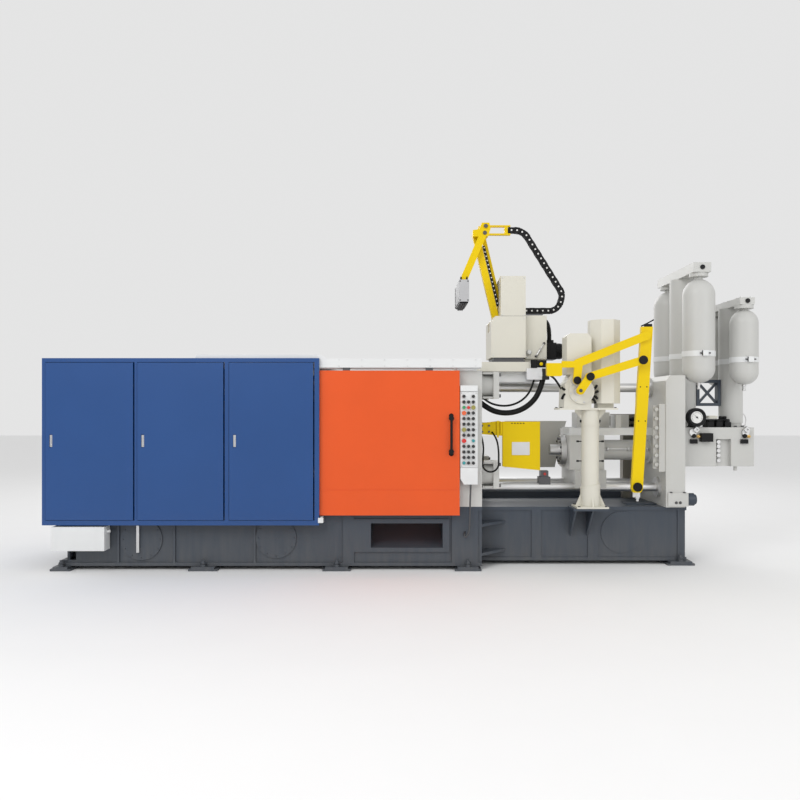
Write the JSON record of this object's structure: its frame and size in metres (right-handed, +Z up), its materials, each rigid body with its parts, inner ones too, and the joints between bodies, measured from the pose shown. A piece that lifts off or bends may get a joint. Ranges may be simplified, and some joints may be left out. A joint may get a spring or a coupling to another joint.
{
  "type": "die casting machine",
  "caption": "Cold-chamber die casting machine with toggle clamp behind guard doors, injection unit with accumulators, swinging sprayer and linkage ladler.",
  "frame": {"origin": "on the floor, under the centre of the bounding box", "axes": "+X from the clamping end to the injection end, +Y from the operator's side to the rear, +Z up"},
  "size_m": [8.0073, 1.911, 4.052],
  "materials": {
    "slate_paint": "satin",
    "grey_paint": "satin",
    "blue_paint": "satin",
    "orange_paint": "satin",
    "white_paint": "satin",
    "beige_paint": "satin",
    "yellow_paint": "satin",
    "brown_paint": "satin",
    "steel": "brushed",
    "black_plastic": "matte",
    "black_rubber": "matte"
  },
  "bodies": {
    "frame": {"base_clamp_section": "slate_paint", "base_shot_section": "slate_paint", "levelling_feet": "slate_paint", "base_fittings": "white_paint", "fixed_platen": "grey_paint", "moving_platen": "grey_paint", "end_platen": "grey_paint", "tie_bars": "steel", "tie_bar_nuts": "grey_paint", "clamp_fittings": "steel", "toggle_links": "grey_paint", "toggle_pins": "steel", "toggle_crosshead": "steel", "clamp_cylinder": "grey_paint", "guard_frames": "blue_paint", "guard_panels": "blue_paint", "guard_roof": "blue_paint", "door_rails": "white_paint", "door_rail_covers": "white_paint", "rear_door": "orange_paint", "control_panel": "white_paint", "panel_buttons": "black_plastic", "shot_frame_plate": "grey_paint", "shot_frame_bars": "steel", "shot_block": "grey_paint", "shot_cylinder": "grey_paint", "shot_valves": "brown_paint", "splash_guards": "yellow_paint", "manifold_block": "grey_paint", "manifold_valves": "steel", "pressure_gauge": "black_plastic", "piston_accumulators": "grey_paint", "nitrogen_bottles": "grey_paint", "bottle_beams": "grey_paint", "bottle_straps": "steel", "sprayer_deck": "beige_paint", "sprayer_cabinet": "beige_paint", "sprayer_drive": "black_plastic", "sprayer_chain": "black_plastic", "ladler_column": "beige_paint", "ladler_head": "beige_paint", "hose_bundle": "black_rubber", "hose_sprayer": "black_rubber", "hose_ladler": "black_rubber"},
    "front_door": {"front_door": "orange_paint", "door_handle": "steel", "door_hangers": "steel"},
    "guard_door_1": {"guard_door_1": "blue_paint"},
    "guard_door_2": {"guard_door_2": "blue_paint"},
    "guard_door_3": {"guard_door_3": "blue_paint"},
    "sprayer_arm": {"sprayer_upper_arm": "yellow_paint"},
    "sprayer_tie": {"sprayer_tie_bar": "yellow_paint"},
    "sprayer_forearm": {"sprayer_forearm": "yellow_paint", "spray_head": "steel"},
    "ladler_arm": {"ladler_main_arm": "yellow_paint"},
    "ladler_crank": {"ladler_crank": "yellow_paint"},
    "ladler_link": {"ladler_link": "yellow_paint"},
    "ladler_hanging_arm": {"ladler_hanging_arm": "yellow_paint"},
    "ladle": {"ladle_wrist": "steel"},
    "plunger": {"plunger_rod": "steel"}
  },
  "joints": [
    {"name": "front_door_slide", "type": "slide", "parent": "frame", "child": "front_door", "axis": [-1, 0, 0], "range_m": [0, 1.38]},
    {"name": "guard_door_1_hinge", "type": "hinge", "parent": "frame", "child": "guard_door_1", "pos_m": [-3.027, -0.932, 1.42], "axis": [0, 0, 1], "range_deg": [0, 100]},
    {"name": "guard_door_2_hinge", "type": "hinge", "parent": "frame", "child": "guard_door_2", "pos_m": [-2.053, -0.932, 1.42], "axis": [0, 0, 1], "range_deg": [0, 100]},
    {"name": "guard_door_3_hinge", "type": "hinge", "parent": "frame", "child": "guard_door_3", "pos_m": [-1.083, -0.932, 1.42], "axis": [0, 0, 1], "range_deg": [0, 100]},
    {"name": "sprayer_swing", "type": "hinge", "parent": "frame", "child": "sprayer_arm", "pos_m": [1.029, 0, 2.772], "axis": [0, -1, 0], "range_deg": [0, 75], "deforming": ["sprayer_chain"]},
    {"name": "sprayer_tie_pivot", "type": "hinge", "parent": "frame", "child": "sprayer_tie", "pos_m": [1.127, 0, 2.78], "axis": [0, -1, 0], "range_deg": [0, 75]},
    {"name": "sprayer_elbow", "type": "hinge", "parent": "sprayer_arm", "child": "sprayer_forearm", "pos_m": [0.772, 0, 3.842], "axis": [0, -1, 0], "range_deg": [-75, 0]},
    {"name": "ladler_swing", "type": "hinge", "parent": "frame", "child": "ladler_arm", "pos_m": [1.803, -0.83, 2.082], "axis": [0, -1, 0], "range_deg": [0, 30]},
    {"name": "ladler_hang", "type": "hinge", "parent": "ladler_arm", "child": "ladler_hanging_arm", "pos_m": [2.561, -0.83, 2.57], "axis": [0, -1, 0], "range_deg": [-30, 0]},
    {"name": "ladler_crank_turn", "type": "hinge", "parent": "frame", "child": "ladler_crank", "pos_m": [1.822, -0.91, 1.968], "axis": [0, -1, 0], "range_deg": [0, 50]},
    {"name": "ladler_link_pivot", "type": "hinge", "parent": "ladler_crank", "child": "ladler_link", "pos_m": [1.927, -0.875, 2.12], "axis": [0, -1, 0], "range_deg": [-17.2, 0]},
    {"name": "ladle_tilt", "type": "hinge", "parent": "ladler_hanging_arm", "child": "ladle", "pos_m": [2.471, -0.78, 0.913], "axis": [0, -1, 0], "range_deg": [0, 80]},
    {"name": "plunger_slide", "type": "slide", "parent": "frame", "child": "plunger", "axis": [-1, 0, 0], "range_m": [0, 0.6]}
  ],
  "couplings": [
    {"joint": "sprayer_tie_pivot", "follows": "sprayer_swing", "ratio": 1},
    {"joint": "sprayer_elbow", "follows": "sprayer_swing", "ratio": -1},
    {"joint": "ladler_hang", "follows": "ladler_swing", "ratio": -1},
    {"joint": "ladler_crank_turn", "follows": "ladler_swing", "ratio": 1.663},
    {"joint": "ladler_link_pivot", "follows": "ladler_swing", "ratio": -0.57}
  ]
}
